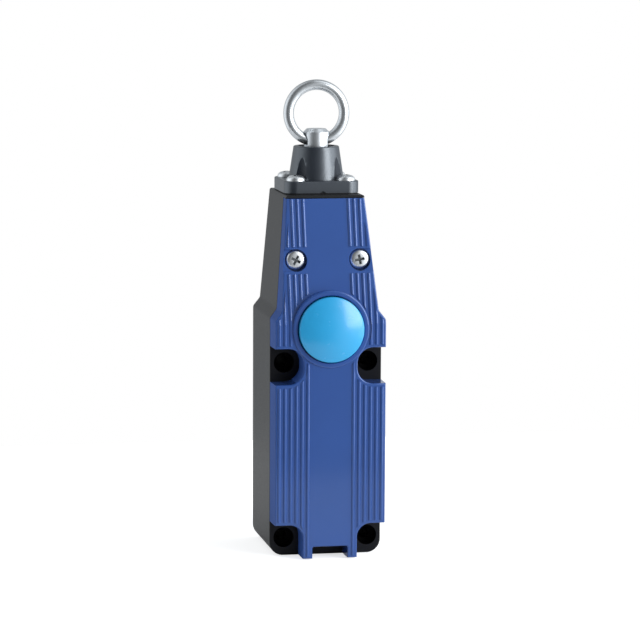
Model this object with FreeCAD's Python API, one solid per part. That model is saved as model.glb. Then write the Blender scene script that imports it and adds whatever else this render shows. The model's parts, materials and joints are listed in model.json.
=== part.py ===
import FreeCAD, Part
import math
import os
from FreeCAD import Vector

# Rope pull switch, in millimetres.
# The origin is the centre of the four mounting holes, on the back face. +X is to the right seen from
# the front, +Y is into the wall, +Z is up. Heights are measured from the bottom edge of the housing.

# Mounting holes
hole_spacing_x = 40.0
hole_spacing_z = 83.5
lower_hole_height = 8.65
mount_hole_r = 2.75
counterbore_r = 4.8
counterbore_depth = 6.0

# Outline of the housing seen from the front
hole_edge_distance = 6.7
housing_height = 170.4
top_taper = 8.05
shoulder_height = 113.4
shoulder_rise = 4.2
shoulder_step = 3.3
bottom_corner_r = 6.5
shoulder_r = 2.5
top_corner_r = 1.0
wall = 3.0

# Outline seen from the side
base_depth = 48.0
base_top_depth = 38.2
cover_depth = 13.0
cover_top_setback = 15.7
bend_height = 111.5
bend_r = 6.0
lip_thickness = 1.2
lip_setback = 16.0
housing_edge_r = 0.5

# Cover
cover_wall = 2.5
cover_inset = 0.45
cover_draft = 0.35
cover_edge_r = 0.6
cover_lip_gap = 0.2
upper_notch_height = 91.65
upper_notch_half_height = 8.5
upper_notch_reach = 7.25
upper_notch_r = 7.5
lower_notch_height = 16.6
lower_notch_reach = 7.1
lower_notch_r = 6.5
slot_half_width = 8.4
slot_height = 6.1
slot_r = 0.8
foot_height = 0.3
rib_count = 6
rib_pitch = 2.727
rib_inner = 10.83
rib_r = 0.85
rib_rise = 0.6
rib_border = 1.1
cover_screw_edge_distance = 3.45
cover_screw_height = 140.8
pocket_r = 5.2
pocket_depth = 2.6
recess_half_height = 5.1
recess_depth = 1.2
gasket_width = 1.3
gasket_thickness = 1.0
gasket_inset = 0.9

# Reset button and its collar
button_height = 109.1
button_r = 15.4
button_gap = 0.5
collar_r = 18.2
collar_edge_r = 0.7
collar_mouth_r = 0.4
collar_rise = 0.8
collar_floor = 2.3
collar_clearance = 0.2
button_rise = 2.5
button_crown = 3.4
button_edge_r = 0.6
button_floor_gap = 0.5
button_wall = 2.0
button_travel = 4.0
stem_r = 4.0
stem_tip_r = 1.5
stem_tip_rounding = 0.9
stem_gap = 0.3
stem_guide_r = 6.5
stem_guide_length = 6.0
seal_groove_wall = 1.0
button_clip_thickness = 1.0
button_clip_groove = 0.8
clip_play = 0.1
clip_mouth_share = 0.8
reset_spring_gap = 2.2
reset_spring_wire_r = 0.5
reset_spring_turns = 4.0
seal_thickness = 1.5

# Head
flange_half_width = 17.9
flange_corner_r = 5.75
flange_thickness = 5.6
flange_edge_r = 0.6
flange_notch_half_width = 1.6
flange_notch_rise = 1.1
turret_gasket_thickness = 0.5
turret_gasket_inset = 0.4
neck_foot_r = 13.1
neck_top_r = 10.8
neck_height = 15.6
neck_edge_r = 0.7
neck_from_back = 21.6
turret_screw_pitch = 24.0
screw_pocket_r = 5.4
bush_r = 8.0
bush_flange_r = 9.4
bush_flange = 1.5
bush_play = 0.3
seal_seat_r = 8.6
seal_seat_depth = 4.0
seal_lip = 0.8
seal_lip_height = 1.0
seal_recess = 0.4

# Rod, ring and main spring
rod_r = 6.1
rod_lower_r = 4.0
rod_above_neck = 8.1
rod_bevel = 1.5
rod_step_height = 165.0
rod_end_below_pin = 5.0
rod_travel = 16.0
running_gap = 0.05
rod_hole_gap = 0.9
ring_r = 13.4
ring_wire_r = 2.5
ring_hole_below_top = 5.7
ring_play = 0.3
ring_hole_reach = 1.0
spring_mean_r = 8.0
spring_wire_r = 1.2
spring_turns = 9.0
washer_thickness = 1.0
washer_gap = 0.4
cup_above_slider = 2.7
cup_thickness = 2.0
cup_rim = 4.0
cup_rim_wall = 1.0
cup_play = 0.3
clip_thickness = 1.2
clip_r = 6.5
clip_groove = 0.8

# Cam slider: both flanks lean the same way, so one plunger goes in while the other comes out
slider_half_width = 7.4
slider_depth = 11.0
slider_top_height = 112.0
slider_guide_height = 58.0
cam_top_height = 54.0
cam_bottom_height = 30.0
cam_slope = 0.16
cam_near_x = 5.5
notch_depth = 3.0
notch_half_height = 2.6
notch_side_gap = 0.5
slider_pin_r = 1.5
slider_pin_below_top = 7.0
slider_pin_inset = 0.5
slider_corner_r = 1.0

# Frame, latch
frame_thickness = 1.5
frame_side_gap = 0.3
frame_bend_r = 2.0
frame_bottom_height = 76.0
pad_height = 5.0
pad_r = 4.5
latch_pin_height = 90.0
latch_pin_depth = 34.5
latch_pin_r = 2.0
latch_hub_r = 4.0
latch_half_width = 3.0
latch_half_thickness = 1.5
latch_top_height = 112.5
latch_bottom_height = 68.0
latch_tooth_height = 72.0
latch_tooth_half_height = 1.6
latch_gap = 0.4
latch_end_r = 0.8
bridge_half_height = 4.0
bridge_height = 74.0
bridge_gap = 9.0
latch_spring_r = 2.2
latch_spring_wire_r = 0.3
latch_spring_turns = 6.0

# Contact blocks
block_inner_x = 9.5
block_side_gap = 0.7
block_height = 50.0
block_half_height = 28.9
block_depth = 30.0
block_wall = 2.0
block_corner_r = 1.0
block_screw_offset = 26.0
block_screw_x = 16.4
block_screw_r = 1.5
block_screw_head_r = 2.6
block_screw_head = 2.0
chamber_half_height = 13.0
plunger_half = 2.5
plunger_nose_r = 2.5
plunger_gap = 0.2
plunger_clearance = 0.15
plunger_length = 9.8
bridge_contact_x = 14.0
bridge_contact_thickness = 0.8
bridge_contact_half_length = 10.0
bridge_contact_half_width = 2.0
tip_gap = 0.2
contact_thickness = 0.8
contact_half_width = 3.0
terminal_start = 15.3
terminal_size = 7.6
terminal_depth = 14.0
terminal_recess = 2.0
terminal_wall = 1.0
arm_overlap = 1.0
arm_start_gap = 2.0
terminal_screw_r = 1.7
terminal_head_r = 3.0
terminal_head = 1.8
plunger_spring_r = 1.3
plunger_spring_wire_r = 0.25
plunger_spring_turns = 4.0
plunger_spring_gap = 0.5
plunger_bore_gap = 0.5

# Screws
screw_r = 2.0
screw_hole_gap = 0.2
screw_end_gap = 1.0
head_rounding_share = 0.7
cross_reach_share = 0.45
cross_width_share = 0.12
cross_floor_share = 0.35
turret_head_r = 4.5
turret_head = 2.7
cover_head_r = 4.65
cover_head = 3.0
thread_depth = 9.0
frame_screw_head_r = 3.6
frame_screw_head = 2.4
boss_wall = 2.2
pocket_wall = 1.4

# Cable entry, M20 with its tapping bore
entry_r = 9.25

# Reach of a cutting shape past the piece that it cuts
overrun = 5.0

# A face looks along an axis if its normal has this share of it
facing_share = 0.9

# Points closer than this are one, and an inner corner keeps at least this radius
same_point = 1e-6
least_corner_r = 0.2


def height(above_bottom):
    """Z of a height above the bottom edge."""
    return above_bottom - lower_hole_height - hole_spacing_z / 2


housing_half_width = hole_spacing_x / 2 + hole_edge_distance
top_half_width = housing_half_width - top_taper
upper_notch_inner = hole_spacing_x / 2 - upper_notch_reach
lower_notch_inner = hole_spacing_x / 2 - lower_notch_reach
cover_screw_x = top_half_width - cover_screw_edge_distance
bottom_z = height(0)
top_z = height(housing_height)
cover_front_y = -(base_depth + cover_depth)
neck_y = -neck_from_back
flange_z = top_z + turret_gasket_thickness
neck_z = flange_z + flange_thickness
neck_top_z = neck_z + neck_height
rod_top_z = neck_top_z + rod_above_neck
ring_hole_z = rod_top_z - ring_hole_below_top
ring_pivot_z = ring_hole_z - ring_play
block_back_y = -(wall + pad_height)
block_front_y = block_back_y - block_depth
block_outer_x = housing_half_width - wall - block_side_gap
frame_top_height = slider_top_height
cup_height = slider_top_height + cup_above_slider
slider_pin_height = slider_top_height - slider_pin_below_top
rod_end_height = slider_pin_height - rod_end_below_pin
slider_front_y = neck_y - slider_depth / 2
cam_z = height(block_height)
cam_far_x = cam_near_x + cam_slope * rod_travel


# Outlines with rounded corners

def rounded_edges(corners, place):
    """Lines and tangent arcs through corners (u, v, radius)."""
    edges = []
    starts = []
    ends = []
    mids = []
    count = len(corners)
    for i in range(count):
        u, v, r = corners[i]
        before = corners[i - 1]
        after = corners[(i + 1) % count]
        a = Vector(before[0] - u, before[1] - v, 0).normalize()
        b = Vector(after[0] - u, after[1] - v, 0).normalize()
        half = a.getAngle(b) / 2
        here = Vector(u, v, 0)
        reach = r / math.tan(half)
        starts.append(here + a * reach)
        ends.append(here + b * reach)
        if r > 0:
            inward = (a + b).normalize()
            mids.append(here + inward * (r / math.sin(half) - r))
        else:
            mids.append(None)
    for i in range(count):
        if mids[i] is not None:
            points = [place(p.x, p.y) for p in (starts[i], mids[i], ends[i])]
            edges.append(Part.Arc(*points).toShape())
        p = ends[i]
        q = starts[(i + 1) % count]
        if p.distanceToPoint(q) > same_point:
            edges.append(Part.makeLine(place(p.x, p.y), place(q.x, q.y)))
    return edges


def rounded_face(corners, place):
    return Part.Face(Part.Wire(rounded_edges(corners, place)))


def front_prism(corners, y0, y1):
    """Outline in X and Z, between two depths."""
    face = rounded_face(corners, lambda u, v: Vector(u, y0, v))
    return face.extrude(Vector(0, y1 - y0, 0))


def side_prism(corners, x0, x1):
    """Outline in Y and Z, between two X values."""
    face = rounded_face(corners, lambda u, v: Vector(x0, u, v))
    return face.extrude(Vector(x1 - x0, 0, 0))


def top_prism(corners, z0, z1):
    """Outline in X and Y, between two heights."""
    face = rounded_face(corners, lambda u, v: Vector(u, v, z0))
    return face.extrude(Vector(0, 0, z1 - z0))


def turned(corners, centre, axis):
    """Solid of revolution from corners (radius, distance along the axis, corner radius)."""
    face = rounded_face(corners, lambda u, v: Vector(u, 0, v))
    solid = face.revolve(Vector(0, 0, 0), Vector(0, 0, 1), 360)
    turn = FreeCAD.Rotation(Vector(0, 0, 1), axis)
    solid.Placement = FreeCAD.Placement(centre, turn)
    return solid


def sharp(*points):
    return [(u, v, 0) for u, v in points]


def rectangle(u0, v0, u1, v1, r=0):
    return [(u0, v0, r), (u1, v0, r), (u1, v1, r), (u0, v1, r)]


def box(x0, y0, z0, x1, y1, z1):
    return top_prism(rectangle(x0, y0, x1, y1), z0, z1)


def cylinder(r, start, end):
    along = end - start
    return Part.makeCylinder(r, along.Length, start, along)


def tube(outer_r, inner_r, start, end):
    return cylinder(outer_r, start, end).cut(cylinder(inner_r, start, end))


def middle_normal(face):
    u0, u1, v0, v1 = face.ParameterRange
    return face.normalAt((u0 + u1) / 2, (v0 + v1) / 2)


def softened(shape, r, wanted):
    """The shape with a fillet around the border of the wanted faces."""
    found = {}
    for face in shape.Faces:
        if wanted(face):
            for edge in face.Edges:
                found.setdefault(edge.hashCode(), []).append(edge)
    border = [edges[0] for edges in found.values() if len(edges) == 1]
    return shape.makeFillet(r, border)


def faces_front(face):
    return middle_normal(face).y < -facing_share


def faces_back(face):
    return middle_normal(face).y > facing_share


def faces_up(face):
    return middle_normal(face).z > facing_share


def upright(r, x, y, z0, z1):
    """Cylinder along Z."""
    return cylinder(r, Vector(x, y, z0), Vector(x, y, z1))


def level(r, x, z, y0, y1):
    """Cylinder along Y."""
    return cylinder(r, Vector(x, y0, z), Vector(x, y1, z))


def crosswise(r, y, z, x0, x1):
    """Cylinder along X."""
    return cylinder(r, Vector(x0, y, z), Vector(x1, y, z))


def coil_spring(mean_r, wire_r, start, end, turns):
    """Round wire wound between two end planes."""
    along = end - start
    rise = along.Length - 2 * wire_r
    helix = Part.makeHelix(rise / turns, rise, mean_r)
    circle = Part.makeCircle(wire_r, Vector(mean_r, 0, 0), Vector(0, 1, 0))
    coil = Part.Wire(helix.Edges).makePipeShell([Part.Wire(circle)], True, True)
    coil.translate(Vector(0, 0, wire_r))
    turn = FreeCAD.Rotation(Vector(0, 0, 1), along)
    coil.Placement = FreeCAD.Placement(start, turn).multiply(coil.Placement)
    return coil


def moved_in(corners, inset):
    """An anticlockwise outline with every side moved inwards, its arcs kept concentric."""
    result = []
    count = len(corners)
    for i in range(count):
        u, v, r = corners[i]
        a = Vector(u - corners[i - 1][0], v - corners[i - 1][1], 0).normalize()
        b = Vector(corners[(i + 1) % count][0] - u, corners[(i + 1) % count][1] - v, 0).normalize()
        turn = a.x * b.y - a.y * b.x
        normal_a = Vector(-a.y, a.x, 0)
        normal_b = Vector(-b.y, b.x, 0)
        shift = (normal_a + normal_b) * (inset / (1 + normal_a.dot(normal_b)))
        new_r = max(r - inset, least_corner_r) if turn > 0 else r + inset
        result.append((u + shift.x, v + shift.y, new_r))
    return result


# The outlines that the housing, the cover and the gasket share

def casing_outline():
    shoulder_z = height(shoulder_height)
    taper_z = shoulder_z + shoulder_rise
    taper_x = housing_half_width - shoulder_step
    right = [
        (housing_half_width, bottom_z, bottom_corner_r),
        (housing_half_width, shoulder_z, shoulder_r),
        (taper_x, taper_z, shoulder_r),
        (top_half_width, top_z, top_corner_r),
    ]
    left = [(-u, v, r) for u, v, r in reversed(right)]
    return right + left


def notch_prisms(grow, y0, y1):
    """The places where the cover is cut away: over the mounting holes and between its feet."""
    prisms = []
    outer = housing_half_width + overrun
    below = bottom_z - overrun
    for side in (-1, 1):
        inner = side * (upper_notch_inner - grow)
        low = height(upper_notch_height - upper_notch_half_height) - grow
        high = height(upper_notch_height + upper_notch_half_height) + grow
        r = upper_notch_r + grow
        upper = [(inner, low, r), (side * outer, low, 0), (side * outer, high, 0), (inner, high, r)]
        inner = side * (lower_notch_inner - grow)
        high = height(lower_notch_height) + grow
        r = lower_notch_r + grow
        lower = [(inner, below, 0), (side * outer, below, 0), (side * outer, high, 0), (inner, high, r)]
        prisms.append(front_prism(upper, y0, y1))
        prisms.append(front_prism(lower, y0, y1))
    half = slot_half_width + grow
    high = height(slot_height) + grow
    slot = [(-half, below, 0), (half, below, 0), (half, high, slot_r + grow), (-half, high, slot_r + grow)]
    prisms.append(front_prism(slot, y0, y1))
    return prisms


def chamber(inset, y0, y1):
    """The casing's outline moved inwards, less the notches moved outwards by as much."""
    body = front_prism(moved_in(casing_outline(), inset), y0, y1)
    return body.cut(notch_prisms(inset, y0, y1))


def slope_line(start_y, end_y, offset):
    """Corner points from the bottom to the top of a face that is upright and then leans back."""
    bend_z = height(bend_height)
    lean = math.atan((end_y - start_y) / (top_z - bend_z))
    y = start_y + offset
    slope = math.tan(lean)
    corner_z = bend_z + offset * math.tan(lean / 2)
    below = bottom_z - overrun
    above = top_z + overrun
    top_y = y + (above - corner_z) * slope
    return [(y, below, 0), (y, corner_z, bend_r), (top_y, above, 0)]


def parting_line(offset):
    return slope_line(-base_depth, -base_top_depth, offset)


def front_line(offset):
    return slope_line(cover_front_y, cover_front_y + cover_top_setback, offset)


def face_y(line, z):
    """Y of a leaning face at a height above its bend."""
    y0, z0, _ = line[1]
    y1, z1, _ = line[2]
    return y0 + (y1 - y0) * (z - z0) / (z1 - z0)


def behind(line, back_y):
    """Everything from a leaning face back to a plane."""
    half = housing_half_width + overrun
    corners = line + [(back_y, line[2][1], 0), (back_y, line[0][1], 0)]
    return side_prism(corners, -half, half)


# Housing

def screw_centres(x_pitch, y_pitch):
    return [(sx * x_pitch / 2, sy * y_pitch / 2) for sx in (-1, 1) for sy in (-1, 1)]


def lip():
    """Hood over the cover's top edge."""
    low = top_z - lip_thickness
    front_y = cover_front_y + lip_setback
    zone = box(-housing_half_width, front_y, low, housing_half_width, -base_top_depth + overrun, top_z)
    return front_prism(casing_outline(), front_y, 0).common(zone)


def frame_pads():
    """Foot points of the mechanism frame on the back wall."""
    half = (frame_top_height - frame_bottom_height) / 2
    middle = (frame_top_height + frame_bottom_height) / 2
    offset = half - pad_r
    return [Vector(0, -wall, height(middle + s * offset)) for s in (-1, 1)]


def block_pads():
    places = []
    for side in (-1, 1):
        for up in (-1, 1):
            places.append(Vector(side * block_screw_x, -wall, cam_z + up * block_screw_offset))
    return places


def housing_bosses(inside):
    """Pillars for the screws of the cover, the turret, the frame and the contact blocks."""
    bosses = []
    z = height(cover_screw_height)
    for side in (-1, 1):
        pillar = level(screw_r + boss_wall, side * cover_screw_x, z, -wall, cover_front_y)
        bosses.append(pillar.common(inside))
    for x, y in screw_centres(turret_screw_pitch, turret_screw_pitch):
        high = top_z - wall
        bosses.append(upright(screw_r + boss_wall, x, neck_y + y, high - thread_depth, high))
    for place in frame_pads() + block_pads():
        pad = cylinder(pad_r, place, place - Vector(0, pad_height, 0))
        bosses.append(pad.common(inside))
    return bosses


def housing_bores():
    bores = []
    for x, z in screw_centres(hole_spacing_x, hole_spacing_z):
        bores.append(level(mount_hole_r, x, z, -base_depth, overrun))
        bores.append(level(counterbore_r, x, z, -base_depth, -base_depth + counterbore_depth))
    z = height(cover_screw_height)
    y = face_y(parting_line(0), z)
    for side in (-1, 1):
        bores.append(level(screw_r, side * cover_screw_x, z, y - overrun, y + thread_depth + screw_end_gap))
    low = top_z - wall - thread_depth + screw_end_gap
    for x, y in screw_centres(turret_screw_pitch, turret_screw_pitch):
        bores.append(upright(screw_r, x, neck_y + y, low, top_z))
    for r, places in ((screw_r, frame_pads()), (block_screw_r, block_pads())):
        for place in places:
            bores.append(level(r, place.x, place.z, place.y + screw_end_gap, place.y - pad_height))
    bores.append(upright(rod_r + rod_hole_gap, 0, neck_y, top_z - overrun, flange_z))
    entry_top = height(slot_height) + 2 * wall
    bores.append(upright(entry_r, 0, neck_y, bottom_z - overrun, entry_top))
    return bores


def rear_housing():
    body = front_prism(casing_outline(), cover_front_y, 0).common(behind(parting_line(0), 0))
    hollow = chamber(wall, cover_front_y - overrun, -wall)
    inside = hollow.common(behind(parting_line(0), 0))
    body = softened(body, housing_edge_r, lambda face: faces_front(face) or faces_back(face))
    body = body.fuse(lip()).cut(hollow)
    body = body.fuse(housing_bosses(inside))
    return body.cut(housing_bores() + [gasket_ring()])


def gasket_ring():
    """Flat seal sunk into the housing's rim, flush with it."""
    front = cover_front_y - overrun
    ring = chamber(gasket_inset, front, 0).cut(chamber(gasket_inset + gasket_width, front, 0))
    layer = behind(parting_line(0), 0).cut(behind(parting_line(gasket_thickness), 0))
    return ring.common(layer)


# Cover

def rib_tools():
    """Half-round ribs that follow the upright and the leaning front face."""
    line = front_line(rib_r - rib_rise)
    ribs = []
    for side in (-1, 1):
        for i in range(rib_count):
            x = side * (rib_inner + i * rib_pitch)
            points = [Vector(x, y, z) for y, z, _ in line]
            lower = cylinder(rib_r, points[0], points[1])
            upper = cylinder(rib_r, points[1], points[2])
            knee = Part.makeSphere(rib_r, points[1])
            ribs.append(lower.fuse([upper, knee]))
    return ribs


def recess_prisms(inner_x, grow):
    """Flat recesses from the cover's sides to its screws."""
    low = height(cover_screw_height - recess_half_height) - grow
    high = height(cover_screw_height + recess_half_height) + grow
    floor = front_line(recess_depth)
    front = cover_front_y - overrun
    corners = sharp((front, low), (face_y(floor, low), low), (face_y(floor, high), high), (front, high))
    outer_x = housing_half_width + overrun
    return [side_prism(corners, inner_x, outer_x), side_prism(corners, -outer_x, -inner_x)]


def cover_screw_seat(side):
    z = height(cover_screw_height)
    return Vector(side * cover_screw_x, face_y(front_line(recess_depth), z) + pocket_depth, z)


def well_back_y():
    return -base_depth - collar_clearance


def well_floor_y():
    return well_back_y() - collar_floor


def stem_guide_end_y():
    return well_back_y() + stem_guide_length


def on_button_axis(y):
    return Vector(0, y, height(button_height))


def cover_blank(in_front):
    """Solid shell outline with draft towards the front, cut by the notches and the face."""
    near = moved_in(casing_outline(), cover_inset - cover_draft)
    far = moved_in(casing_outline(), cover_inset)
    sections = []
    for corners, y in ((near, -base_depth), (far, cover_front_y)):
        edges = rounded_edges(corners, lambda u, v, y=y: Vector(u, y, v))
        sections.append(Part.Wire(edges))
    blank = Part.makeLoft(sections, True, True)
    blank = blank.fuse(front_prism(near, -base_depth, -base_top_depth))
    half = housing_half_width
    under_lip = top_z - lip_thickness - cover_lip_gap
    above = box(-half, cover_front_y, under_lip, half, 0, top_z + overrun)
    below = box(-half, cover_front_y - overrun, bottom_z - overrun, half, 0, height(foot_height))
    blank = blank.cut(notch_prisms(0, cover_front_y - overrun, 0) + [above, below])
    return softened(blank.common(in_front), cover_edge_r, faces_front)


def cover_ribs():
    """Ribs that stop short of the edges, the collar and the recesses."""
    front = cover_front_y - overrun
    zone = chamber(cover_inset + rib_border, front, 0)
    clear_of = [cylinder(collar_r + rib_border, on_button_axis(front), on_button_axis(0))]
    clear_of += recess_prisms(cover_screw_x - pocket_r, rib_border)
    return [rib.common(zone).cut(clear_of) for rib in rib_tools()]


def button_well():
    """Collar with a rounded front edge, and the stem's guide behind it."""
    depth = well_back_y() - cover_front_y + collar_rise
    corners = [(0, 0, 0), (collar_r, 0, 0), (collar_r, depth, collar_edge_r), (0, depth, 0)]
    collar = turned(corners, on_button_axis(well_back_y()), Vector(0, -1, 0))
    guide = cylinder(stem_guide_r, on_button_axis(well_back_y()), on_button_axis(stem_guide_end_y()))
    return [collar, guide]


def button_well_bores():
    bore = button_r + button_gap
    depth = well_floor_y() - cover_front_y + collar_rise
    corners = [
        (0, 0, 0), (bore, 0, 0), (bore, depth, collar_mouth_r),
        (collar_r, depth, 0), (collar_r, depth + overrun, 0), (0, depth + overrun, 0),
    ]
    floor = on_button_axis(well_floor_y())
    end = on_button_axis(stem_guide_end_y())
    seal_start = on_button_axis(stem_guide_end_y() - seal_thickness)
    return [
        turned(corners, floor, Vector(0, -1, 0)),
        cylinder(stem_r + running_gap, floor, end),
        tube(stem_guide_r - seal_groove_wall, stem_r, seal_start, end),
    ]


def front_cover():
    in_front = behind(front_line(0), 0).cut(behind(parting_line(0), 0))
    hollow = chamber(cover_inset + cover_wall, cover_front_y, 0).common(behind(front_line(cover_wall), 0))
    added = button_well()
    removed = button_well_bores() + recess_prisms(cover_screw_x, 0)
    for side in (-1, 1):
        seat = cover_screw_seat(side)
        boss = level(pocket_r + pocket_wall, seat.x, seat.z, cover_front_y, 0)
        added.append(boss.common(hollow).common(in_front))
        removed.append(level(pocket_r, seat.x, seat.z, cover_front_y, seat.y))
        removed.append(level(screw_r + screw_hole_gap, seat.x, seat.z, seat.y, 0))
    shell = cover_blank(in_front).cut(hollow)
    shell = shell.fuse(added + cover_ribs())
    return shell.cut(removed).removeSplitter()


def pan_head_screw(seat, along, head_r, head, shank_r, shank):
    """Domed head with a cross recess on its seat, shank the other way."""
    corners = [
        (0, -shank, 0), (shank_r, -shank, 0), (shank_r, 0, 0), (head_r, 0, 0),
        (head_r, head, head * head_rounding_share), (0, head, 0),
    ]
    screw = turned(corners, seat, along)
    reach = head_r * cross_reach_share
    half = head_r * cross_width_share
    slots = []
    for a, b in ((reach, half), (half, reach)):
        slot = box(-a, -b, head * cross_floor_share, a, b, head)
        slot.Placement = screw.Placement
        slots.append(slot)
    return screw.cut(slots)


def cover_screws():
    screws = []
    for side in (-1, 1):
        seat = cover_screw_seat(side)
        shank = face_y(parting_line(0), seat.z) - seat.y + thread_depth
        screws.append(pan_head_screw(seat, Vector(0, -1, 0), cover_head_r, cover_head, screw_r, shank))
    return screws


# Head

def turret_outline():
    half = flange_half_width
    return rectangle(-half, neck_y - half, half, neck_y + half, flange_corner_r)


def turret_gasket():
    body = top_prism(moved_in(turret_outline(), turret_gasket_inset), top_z, flange_z)
    holes = [upright(bush_flange_r + bush_play, 0, neck_y, top_z, flange_z)]
    for x, y in screw_centres(turret_screw_pitch, turret_screw_pitch):
        holes.append(upright(screw_r + screw_hole_gap, x, neck_y + y, top_z, flange_z))
    return body.cut(holes)


def head_turret():
    """Flange with a tapered neck, into which the screw heads' pockets are sunk."""
    sunk = flange_thickness / 2
    neck = turned([(0, -sunk, 0), (neck_foot_r, -sunk, 0), (neck_foot_r, 0, 0),
                   (neck_top_r, neck_height, neck_edge_r), (0, neck_height, 0)],
                  Vector(0, neck_y, neck_z), Vector(0, 0, 1))
    flange = softened(top_prism(turret_outline(), flange_z, neck_z), flange_edge_r, faces_up)
    body = flange.fuse(neck)
    removed = []
    for x, y in screw_centres(turret_screw_pitch, turret_screw_pitch):
        removed.append(upright(screw_pocket_r, x, neck_y + y, neck_z, neck_top_z))
        removed.append(upright(screw_r + screw_hole_gap, x, neck_y + y, flange_z, neck_z))
    seat_z = neck_top_z - seal_seat_depth
    removed.append(upright(bush_r, 0, neck_y, flange_z, seat_z))
    removed.append(upright(seal_seat_r, 0, neck_y, seat_z, neck_top_z))
    removed.append(upright(bush_flange_r, 0, neck_y, flange_z, top_z + bush_flange))
    front = neck_y - flange_half_width
    notch = sharp((-flange_notch_half_width, flange_z), (flange_notch_half_width, flange_z),
                  (0, flange_z + flange_notch_rise))
    removed.append(front_prism(notch, front, front + flange_notch_half_width))
    return body.cut(removed)


def turret_screws():
    screws = []
    for x, y in screw_centres(turret_screw_pitch, turret_screw_pitch):
        shank = neck_z - top_z + wall + thread_depth - 2 * screw_end_gap
        seat = Vector(x, neck_y + y, neck_z)
        screws.append(pan_head_screw(seat, Vector(0, 0, 1), turret_head_r, turret_head, screw_r, shank))
    return screws


def guide_bush():
    """Flanged plain bearing in the neck."""
    bore = rod_r + running_gap
    length = neck_top_z - seal_seat_depth - top_z
    corners = sharp((bore, 0), (bush_flange_r, 0), (bush_flange_r, bush_flange), (bush_r, bush_flange),
                    (bush_r, length), (bore, length))
    return turned(corners, Vector(0, neck_y, top_z), Vector(0, 0, 1))


def wiper_seal():
    """Rubber ring with a lip against the rod."""
    bore = rod_r + running_gap
    top = seal_seat_depth - seal_recess
    wide = bore + seal_lip
    corners = sharp((wide, 0), (seal_seat_r, 0), (seal_seat_r, top), (bore, top),
                    (bore, top - seal_lip_height), (wide, top / 2))
    return turned(corners, Vector(0, neck_y, neck_top_z - seal_seat_depth), Vector(0, 0, 1))


# Rod, ring and main spring

def on_neck_axis(z):
    return Vector(0, neck_y, z)


def ring_hole():
    """Cross hole whose mouths flare as the ring's curve does, so that the ring can tilt in it."""
    reach = rod_r + ring_hole_reach
    inner_r = ring_r - ring_wire_r - ring_play
    ends = [(x, ring_r - math.sqrt(inner_r ** 2 - x ** 2)) for x in (-reach, 0, reach)]
    points = [Vector(x, r, 0) for x, r in ends]
    arc = Part.Arc(*points).toShape()
    left = Part.makeLine(Vector(-reach, 0, 0), points[0])
    right = Part.makeLine(points[2], Vector(reach, 0, 0))
    axis = Part.makeLine(Vector(reach, 0, 0), Vector(-reach, 0, 0))
    solid = Part.Face(Part.Wire([left, arc, right, axis])).revolve(Vector(0, 0, 0), Vector(1, 0, 0), 360)
    solid.translate(on_neck_axis(ring_pivot_z))
    return solid


def pull_rod():
    end_z = height(rod_end_height)
    step_z = height(rod_step_height)
    top = rod_top_z - end_z
    step = step_z - end_z
    groove_top = height(cup_height) - end_z
    groove_r = rod_lower_r - clip_groove
    corners = [
        (0, 0, 0), (rod_lower_r, 0, 0), (rod_lower_r, groove_top - clip_thickness, 0),
        (groove_r, groove_top - clip_thickness, 0), (groove_r, groove_top, 0), (rod_lower_r, groove_top, 0),
        (rod_lower_r, step, 0), (rod_r, step, 0), (rod_r, top - rod_bevel, 0),
        (rod_r - rod_bevel, top, 0), (0, top, 0),
    ]
    rod = turned(corners, on_neck_axis(end_z), Vector(0, 0, 1))
    pin = level(slider_pin_r, 0, height(slider_pin_height), neck_y - rod_r, neck_y + rod_r)
    return rod.cut([ring_hole(), pin])


def pull_ring():
    ring = Part.makeTorus(ring_r, ring_wire_r, Vector(0, 0, 0), Vector(0, 1, 0))
    ring.translate(on_neck_axis(ring_pivot_z + ring_r))
    return ring


def rod_clip():
    """Retaining clip in the rod's groove, open to the front."""
    top = height(cup_height)
    r = rod_lower_r - clip_groove
    clip = tube(clip_r, r, on_neck_axis(top - clip_thickness), on_neck_axis(top))
    mouth_half = r * clip_mouth_share
    mouth = box(-mouth_half, neck_y - clip_r, top - clip_thickness, mouth_half, neck_y, top)
    return clip.cut(mouth)


def spring_cup():
    outer = spring_mean_r + spring_wire_r + cup_play + cup_rim_wall
    corners = sharp((rod_lower_r + running_gap, 0), (outer, 0), (outer, cup_thickness + cup_rim),
                    (outer - cup_rim_wall, cup_thickness + cup_rim), (outer - cup_rim_wall, cup_thickness),
                    (rod_lower_r + running_gap, cup_thickness))
    return turned(corners, on_neck_axis(height(cup_height)), Vector(0, 0, 1))


def spring_washer():
    seat = top_z - wall
    low = on_neck_axis(seat - washer_thickness)
    return tube(spring_mean_r + spring_wire_r, rod_r + washer_gap, low, on_neck_axis(seat))


def pull_spring():
    low = height(cup_height) + cup_thickness
    high = top_z - wall - washer_thickness
    return coil_spring(spring_mean_r, spring_wire_r, on_neck_axis(low), on_neck_axis(high), spring_turns)


# Cam slider

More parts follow.
